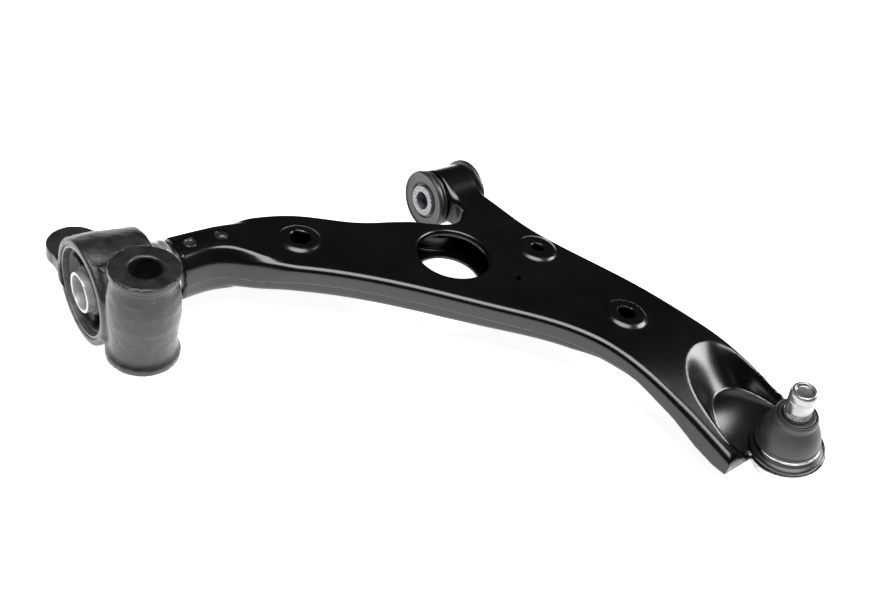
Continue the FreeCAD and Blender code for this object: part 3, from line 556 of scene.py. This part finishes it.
def finish(name, dark, light, rough, metal=0.0, patch=45.0, grain=900.0, grain_depth=0.00002,
           grain_strength=0.25,
           peel=220.0, peel_strength=0.06, speck_glint=0.0, speck_glint_scale=1400.0, specular=0.5, coat=0.0,
           bands=None,
           band_strength=0.2):
    """A surface with colour and gloss in soft patches, a fine grain, a gentle waviness and bright specks
    painted into the colour, which on the cast paint are painted glints standing for its sparkle.
    """
    material, shader, add, link = node_material(name)
    spot = add("ShaderNodeTexCoord").outputs["Object"]
    patches = add("ShaderNodeTexNoise", Scale=patch, Detail=5.0, Roughness=0.6)
    fine = add("ShaderNodeTexNoise", Scale=grain, Detail=4.0, Roughness=0.65)
    wavy = add("ShaderNodeTexNoise", Scale=peel, Detail=2.0, Roughness=0.5)
    for node in (patches, fine, wavy):
        link(spot, node.inputs["Vector"])
    tone = add("ShaderNodeValToRGB")
    tone.color_ramp.elements[0].position, tone.color_ramp.elements[1].position = 0.32, 0.68
    tone.color_ramp.elements[0].color = (*dark, 1)
    tone.color_ramp.elements[1].color = (*light, 1)
    link(patches.outputs["Fac"], tone.inputs["Fac"])
    colour = tone.outputs["Color"]
    gloss = add("ShaderNodeMapRange")
    gloss.inputs["From Min"].default_value, gloss.inputs["From Max"].default_value = 0.3, 0.7
    gloss.inputs["To Min"].default_value, gloss.inputs["To Max"].default_value = rough
    blur = add("ShaderNodeMath", operation="MULTIPLY_ADD")
    link(patches.outputs["Fac"], blur.inputs[0])
    blur.inputs[1].default_value = 0.6
    half = add("ShaderNodeMath", operation="MULTIPLY")
    half.inputs[1].default_value = 0.4
    link(fine.outputs["Fac"], half.inputs[0])
    link(half.outputs[0], blur.inputs[2])
    link(blur.outputs[0], gloss.inputs["Value"])
    # Bright specks painted into the base colour: on the cast paint these are painted glints, a painted
    # sparkle; on the other finishes they are small pale flecks.
    if speck_glint:
        speck_glint_dots = add("ShaderNodeTexVoronoi", Scale=speck_glint_scale, Randomness=1.0)
        link(spot, speck_glint_dots.inputs["Vector"])
        speck_glint_mask = add("ShaderNodeMath", operation="LESS_THAN")
        speck_glint_mask.inputs[1].default_value = speck_glint
        link(speck_glint_dots.outputs["Color"], speck_glint_mask.inputs[0])
        blend = add("ShaderNodeMix", data_type="RGBA")
        blend.inputs["B"].default_value = tuple(min(1.0, 3.0 * part + 0.02) for part in light) + (1,)
        link(speck_glint_mask.outputs[0], blend.inputs["Factor"])
        link(colour, blend.inputs["A"])
        colour = blend.outputs["Result"]
    link(colour, shader.inputs["Base Color"])
    link(gloss.outputs["Result"], shader.inputs["Roughness"])
    first = add("ShaderNodeBump", Strength=peel_strength, Distance=0.0004)
    link(wavy.outputs["Fac"], first.inputs["Height"])
    second = add("ShaderNodeBump", Strength=grain_strength, Distance=grain_depth)
    link(fine.outputs["Fac"], second.inputs["Height"])
    link(first.outputs["Normal"], second.inputs["Normal"])
    last = second
    if bands is not None:
        along = add("ShaderNodeVectorMath", operation="DOT_PRODUCT")
        along.inputs[1].default_value = bands
        link(spot, along.inputs[0])
        groove = add("ShaderNodeTexNoise", noise_dimensions="1D", Scale=2600.0, Detail=2.0)
        link(along.outputs["Value"], groove.inputs["W"])
        last = add("ShaderNodeBump", Strength=band_strength, Distance=0.00003)
        link(groove.outputs["Fac"], last.inputs["Height"])
        link(second.outputs["Normal"], last.inputs["Normal"])
    link(last.outputs["Normal"], shader.inputs["Normal"])
    shader.inputs["Metallic"].default_value = metal
    shader.inputs["Specular IOR Level"].default_value = specular
    shader.inputs["Coat Weight"].default_value = coat
    shader.inputs["Coat Roughness"].default_value = 0.12
    return material


AXIS_TUPLE = tuple(float(part) for part in AXIS)
PAINT = finish("black_paint", (0.0012, 0.0012, 0.0012), (0.0024, 0.0023, 0.0022), (0.17, 0.26),
               patch=26.0, grain=2400.0, grain_strength=0.10, peel=160.0, peel_strength=0.04,
               speck_glint=0.006, speck_glint_scale=420.0)
WELD = finish("welded_paint", (0.004, 0.004, 0.004), (0.022, 0.022, 0.023), (0.2, 0.36), patch=300.0,
              grain=1500.0,
              grain_strength=0.4, peel=500.0, peel_strength=0.3)
# The cast paint's bright specks are painted glints, a painted sparkle of the rough casting.
CAST = finish("cast_paint", (0.0040, 0.0040, 0.0045), (0.013, 0.013, 0.0145), (0.26, 0.46), patch=110.0,
              grain=900.0,
              grain_depth=0.00025, grain_strength=0.7, peel=420.0, peel_strength=0.4,
              speck_glint=0.05, speck_glint_scale=900.0)
ZINC = finish("zinc_plate", (0.10, 0.103, 0.11), (0.28, 0.287, 0.30), (0.34, 0.55), metal=0.75, patch=900.0,
              grain=2600.0, grain_strength=0.5, grain_depth=0.00005, speck_glint=0.16, speck_glint_scale=2600.0)
PIN = finish("pin_paint", (0.006, 0.006, 0.006), (0.016, 0.016, 0.017), (0.25, 0.42), patch=80.0,
             bands=(0.0, 1.0, 0.0))
COLLAR = finish("collar_steel", (0.34, 0.35, 0.37), (0.55, 0.57, 0.60), (0.30, 0.46), metal=0.8, patch=160.0,
                bands=(0.0, 1.0, 0.0))
SLEEVE = finish("sleeve_steel", (0.10, 0.10, 0.105), (0.26, 0.26, 0.27), (0.28, 0.45), metal=0.85,
                patch=120.0,
                bands=(0.0, 1.0, 0.0))
TUBE_END = finish("tube_steel", (0.40, 0.40, 0.41), (0.62, 0.62, 0.63), (0.25, 0.4), metal=0.6, patch=140.0,
                  bands=(0.0, 1.0, 0.0))
RING_FACE = finish("ring_steel", (0.10, 0.10, 0.105), (0.17, 0.17, 0.175), (0.3, 0.45), metal=0.5,
                   patch=160.0)
HOUSING = finish("housing_steel", (0.004, 0.004, 0.0045), (0.010, 0.010, 0.011), (0.24, 0.38), metal=0.1,
                 patch=130.0)
CAP = finish("cap_steel", (0.52, 0.52, 0.52), (0.74, 0.74, 0.74), (0.28, 0.42), metal=0.5, patch=150.0)
STUD = finish("stud_steel", (0.26, 0.26, 0.257), (0.38, 0.38, 0.374), (0.20, 0.34), metal=0.9, patch=120.0,
              grain=1800.0,
              bands=AXIS_TUPLE, band_strength=0.35)
CLIP = finish("clip_wire", (0.35, 0.35, 0.35), (0.75, 0.75, 0.74), (0.2, 0.4), metal=1.0, patch=260.0)
RUBBER = finish("bush_rubber", (0.012, 0.0115, 0.014), (0.026, 0.025, 0.029), (0.40, 0.58), patch=90.0,
                grain=1400.0,
                grain_strength=0.5, grain_depth=0.00006, peel=380.0, peel_strength=0.12)
FRONT_RUBBER = finish("front_rubber", (0.010, 0.010, 0.011), (0.022, 0.022, 0.024), (0.24, 0.40), patch=90.0,
                      grain=1400.0, grain_strength=0.5, grain_depth=0.00006, peel=380.0, peel_strength=0.12)
BOOT = finish("boot_rubber", (0.012, 0.0125, 0.014), (0.026, 0.027, 0.030), (0.40, 0.56), patch=70.0,
              grain=1700.0,
              grain_strength=0.35, grain_depth=0.00004, peel=300.0, peel_strength=0.08, speck_glint=0.01,
              speck_glint_scale=700.0)
SEAT = finish("seat_polymer", (0.55, 0.54, 0.50), (0.68, 0.67, 0.62), (0.35, 0.5))


def placed(piece, body, slot, material, *nodes):
    """Gives a piece its body, its material and the CAD nodes it stands for."""
    piece.data.materials.clear()
    piece.data.materials.append(material)
    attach(piece, body)
    if nodes:
        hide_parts(*nodes)
    return piece


# ---------------------------------------------------------------- pressings
placed(meshed("upper_pressing", upper_field, (-26, -240, -27), (345, 84, 25), 1.2),
       "arm", "arm_paint", PAINT, "upper_shell", "front_eye_tube")
placed(meshed("lower_pressing", lower_field, (-26, -240, -23), (246, 74, 4), 1.3),
       "arm", "arm_paint", PAINT, "lower_shell")
placed(meshed("seam_bead", seam_field, (-26, -192, -11), (210, 70, -4), 0.75),
       "arm", "weld_paint", WELD, "seam_weld")

# ---------------------------------------------------------------- front bush
BACK_END = [(12.1, 3), (13.6, 3, 0.4), (14.4, 1.6, 0.5), (20.4, 1.5, 1.0), (21.4, 0.5, 0.5), (23.2, 1.2, 0.9),
            (23.2, 4.6, 0.9), (21.0, 5.4, 0.5), (21.0, 6.1, 0.3), (22.4, 6.7, 0.5), (22.4, 8.0, 0.6),
            (17.6, 8.9, 0.6), (17.6, 10.1, 0.5), (19.0, 10.6, 0.5), (19.0, 11.5, 0.2), (16.3, 11.5, 0.2)]
FORE_END = [(16.3, 39.5, 0.2), (18.6, 39.5, 0.2), (18.6, 40.4, 0.3), (21.6, 40.8, 0.4), (24.0, 41.4, 0.9),
            (24.0, 44.6, 0.9), (22.8, 45.4, 0.5), (14.4, 45.3, 0.5), (13.6, 44.1, 0.4), (12.1, 44.1)]
placed(turned("front_rubber", BACK_END + FORE_END, along_y(-25.5), 144),
       "arm", "bush_rubber", FRONT_RUBBER, "front_bush_rubber")
placed(turned("front_inner", [(6.8, 0, 0.9), (12, 0, 0.6), (12, 46.5, 0.6), (6.8, 46.5, 0.9)],
              along_y(-25.5), 96),
       "front_sleeve", "zinc_steel", ZINC, "front_bush_inner_sleeve")

# ---------------------------------------------------------------- rear bush, its pin and the bracket
placed(meshed("bracket_casting", bracket_field, (-73, -307, -40), (75, -250, 56), 1.15),
       "bracket", "cast_paint", CAST, "rear_bracket")
placed(turned("rear_outer", [(28.9, 0, 0.4), (30.5, 0, 0.4), (30.5, 42.8, 0.4), (28.9, 42.8, 0.4)],
              along_y(REAR - 21.4), 128), "bracket", "zinc_steel", RING_FACE, "rear_bush_outer_sleeve")
placed(meshed("rear_rubber", rubber_field, (-31, -299, -31), (31, -254, 31), 0.9),
       "bracket", "bush_rubber", RUBBER, "rear_bush_rubber")
placed(turned("rear_inner", [(11.5, 0, 0.6), (13.4, 0, 0.6), (13.4, 45, 0.6), (11.5, 45, 0.6)],
              along_y(REAR - 22.5), 96), "arm", "zinc_steel", TUBE_END, "rear_bush_inner_sleeve")
placed(turned("rear_pin_turned", [(0, 0), (10.4, 0, 0.5), (11.45, 1.2, 0.5), (11.45, 40.3, 0.5),
                                  (16.4, 40.3, 0.5),
                                  (16.4, 85.3, 1.0), (14.5, 87.3, 1.0), (0, 87.3)],
              along_y(REAR - 2.5), 96), "arm", "pin_steel", PIN, "rear_pin")
placed(turned("rear_collar", [(11.55, 0.2, 0.3), (19.0, 0.2, 1.2), (20.4, 1.6, 1.2), (20.4, 9.0, 1.0),
                              (19.6, 10.0, 0.6),
                              (19.6, 11.0, 0.6), (20.4, 12.0, 0.8), (20.4, 14.2, 0.8), (19.6, 15.2, 0.5),
                              (11.55, 15.2, 0.3)], along_y(REAR + 22.5), 112),
       "arm", "pin_steel", COLLAR, "rear_pin_collar")


def plug_field(x, y, z):
    """Two plug welds in the crown of the leg: a ring with a hollow middle, and a rough full one."""
    first = np.hypot(x, y - PLUGS[0])
    second = np.hypot(x, y - PLUGS[1])
    crown = z - leg_crown(x)
    ring = np.maximum(first - 4.85, crown + 1.5 - 1.1 * np.exp(-((first - 4.1) / 0.7) ** 2))
    mound = np.maximum(second - 4.85, crown + 1.2 - 0.7 * lumps(x, y, z, 1.7, 21))
    return np.maximum(np.minimum(ring, mound), 16.0 - z)


placed(meshed("plug_weld_pair", plug_field, (-6.5, -230, 15), (6.5, -194.5, 20.5), 0.45),
       "arm", "weld_paint", WELD, "pin_plug_welds")

# ---------------------------------------------------------------- ball joint
placed(turned("joint_body", [(15, -24, 0.4), (19.9, -24, 0.8), (19.9, -9.1), (15, -9.1)], ON_JOINT, 128),
       "arm", "housing_steel", CAP, "ball_joint_housing")
placed(turned("joint_housing", [(15, -9), (24, -9, 0.6), (24, -6.4, 0.9),
                                (22.6, -5.6, 0.6), (20.8, -5.0, 0.5), (20.6, -2.8, 0.4), (19.2, -2.2, 0.3),
                                (19.2, 0, 0.3), (15.5, 0, 0.3), (12.2, -5.5, 0.3), (15, -5.5, 0.3)],
                                ON_JOINT, 128),
       "arm", "housing_steel", HOUSING, "ball_joint_housing")
placed(turned("joint_cap", [(0, -26.5), (9, -26.1, 2), (16.4, -24.9, 1), (17.5, -24, 0.3), (0, -24)],
              ON_JOINT, 96),
       "arm", "housing_steel", CAP, "ball_joint_end_cap")


def clip_wave(turn, height):
    return 0.10 * math.sin(turn * 7 + 0.6) + 0.07 * math.sin(turn * 17)


clip_corners = [(20.3 + 0.93 * math.cos(turn), -1.1 + 0.93 * math.sin(turn))
                for turn in np.linspace(0, 2 * math.pi, 12, endpoint=False)]
placed(turned("boot_clip", clip_corners, ON_JOINT, 160, clip_wave), "arm", "clip_wire", CLIP,
       "boot_base_clip")

SPLIT = 12.0
lower_boot = turned("dust_boot_lower", [(16, 0.2, 0.3), (20.6, 0.2, 0.6), (21.0, 1.8, 0.9), (20.2, 2.8, 0.6),
                                        (20.2, 5, 1.0), (19.3, 9, 2.0), (18.2, SPLIT), (17.0, SPLIT),
                                        (17.7, 8, 2.0), (18.0, 4, 1.0), (16, 2.4, 0.4)], ON_JOINT, 128)
upper_boot = turned("dust_boot_upper", [(18.2, SPLIT), (17.1, 14.5, 1.5), (15.6, 17.4, 1.5),
                                        (14.5, 19.4, 0.8),
                                        (14.1, 20.4, 0.4), (14.3, 21.4, 0.5), (14.4, 24.2, 0.8),
                                        (13.6, 25.5, 0.6),
                                        (12.7, 25.4, 0.4), (12.5, 24.1, 0.3), (9.1, 24.0, 0.3),
                                        (9.1, 20.5, 0.5),
                                        (12.9, 18.3, 0.6), (15.6, 14.8, 1.0), (17.0, SPLIT)], ON_JOINT, 128)
for boot_part, body_a, body_b, low, high in ((lower_boot, "arm", "boot_lean", 1.5, 11.5),
                                             (upper_boot, "boot_lean", "boot_neck", 12.5, 19.5)):
    boot_part.data.materials.append(BOOT)
    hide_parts("dust_boot")
    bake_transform(boot_part)
placed(turned("neck_ring", [(9.0, 24.2, 0.3), (12.4, 24.3, 0.3), (12.4, 25.2, 0.4), (11.6, 25.7, 0.3),
                            (9.5, 25.6, 0.3), (9.0, 25.1, 0.2)], ON_JOINT, 96),
       "boot_neck", "boot_rubber", BOOT, "boot_neck_ring")

ball = [(BALL_RADIUS * math.sin(turn), -BALL_DEPTH - BALL_RADIUS * math.cos(turn))
        for turn in np.radians(np.linspace(0, 144, 20))]
placed(turned("stud_turned", ball + [(7.2, 0), (7.2, 3, 0.5), (9.0, 16, 1.0), (8.85, 21, 0.3),
                                     (8.85, 28.6, 0.4),
                                     (8.1, 29.4, 0.3), (8.1, 31.0, 0.3), (8.7, 31.7, 0.3), (8.7, 40.0, 0.3),
                                     (8.45, 40.6, 0.3), (8.45, 41.4, 0.3), (8.7, 42.0, 0.3), (8.7, 45.8, 0.9),
                                     (7.5, 48, 0.7), (6.0, 48, 0.4),
                                     (5.2, 46.2, 0.4), (0, 45.9)], ON_JOINT, 112),
       "stud", "stud_steel", STUD, "ball_stud")

for node, material in (("front_bush_outer_sleeve", SLEEVE), ("ball_seat", SEAT)):
    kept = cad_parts[node]
    kept.data.materials.clear()
    kept.data.materials.append(material)

# ---------------------------------------------------------------- camera, floor and light
camera = bpy.data.objects.new("camera", bpy.data.cameras.new("camera"))
camera.data.lens = 41.1126
camera.data.sensor_width = 36.0
camera.data.clip_end = 50.0
right, up, back = (0.5973, 0.7764, 0.2012), (-0.5990, 0.2650, 0.7556), (0.5333, -0.5718, 0.6234)
turn = Matrix((right, up, back)).transposed().to_4x4()
camera.matrix_world = Matrix.Translation(Vector((0.4760476, -0.4851049, 0.4413488))) @ turn
bpy.context.scene.collection.objects.link(camera)
bpy.context.scene.camera = camera
bpy.context.scene.view_settings.view_transform = "Standard"

ground, ground_shader, ground_add, ground_link = node_material("studio_floor")
paper = ground_add("ShaderNodeTexNoise", Scale=30.0, Detail=4.0)
tint = ground_add("ShaderNodeValToRGB")
tint.color_ramp.elements[0].color = (0.80, 0.80, 0.80, 1)
tint.color_ramp.elements[1].color = (0.86, 0.86, 0.86, 1)
ground_link(ground_add("ShaderNodeTexCoord").outputs["Object"], paper.inputs["Vector"])
ground_link(paper.outputs["Fac"], tint.inputs["Fac"])
ground_link(tint.outputs["Color"], ground_shader.inputs["Base Color"])
ground_shader.inputs["Roughness"].default_value = 0.8
ground_shader.inputs["Specular IOR Level"].default_value = 0.1
ground_shader.inputs["Emission Color"].default_value = (1, 1, 1, 1)
ground_shader.inputs["Emission Strength"].default_value = 0.92
reach, level = 30000.0, CAD_BOX[0][2] / MM - 0.3
floor = add_mesh("floor", [(-reach, -reach, level), (reach, -reach, level), (reach, reach, level),
                           (-reach, reach, level)], [(0, 1, 2, 3)])
floor.data.materials.append(ground)


def sun(name, strength, width, direction):
    """A soft light as wide as a given angle, from a direction."""
    light = bpy.data.lights.new(name, "SUN")
    light.energy = strength
    light.angle = math.radians(width)
    lamp = bpy.data.objects.new(name, light)
    lamp.rotation_euler = Vector(direction).to_track_quat("Z", "Y").to_euler()
    bpy.context.scene.collection.objects.link(lamp)


sun("overhead", 4.6, 46, (0.10, -0.12, 1.0))
sun("side", 2.8, 30, (0.303, 0.750, 0.588))

world = bpy.data.worlds.new("studio")
world.use_nodes = True
bpy.context.scene.world = world
sky = world.node_tree
backdrop = sky.nodes["Background"]
backdrop.inputs["Color"].default_value = (0.022, 0.022, 0.023, 1)
pale = sky.nodes.new("ShaderNodeBackground")
pale.inputs["Color"].default_value = (1, 1, 1, 1)
path = sky.nodes.new("ShaderNodeLightPath")
choice = sky.nodes.new("ShaderNodeMixShader")
sky.links.new(path.outputs["Is Camera Ray"], choice.inputs["Fac"])
sky.links.new(backdrop.outputs[0], choice.inputs[1])
sky.links.new(pale.outputs[0], choice.inputs[2])
sky.links.new(choice.outputs[0], sky.nodes["World Output"].inputs["Surface"])
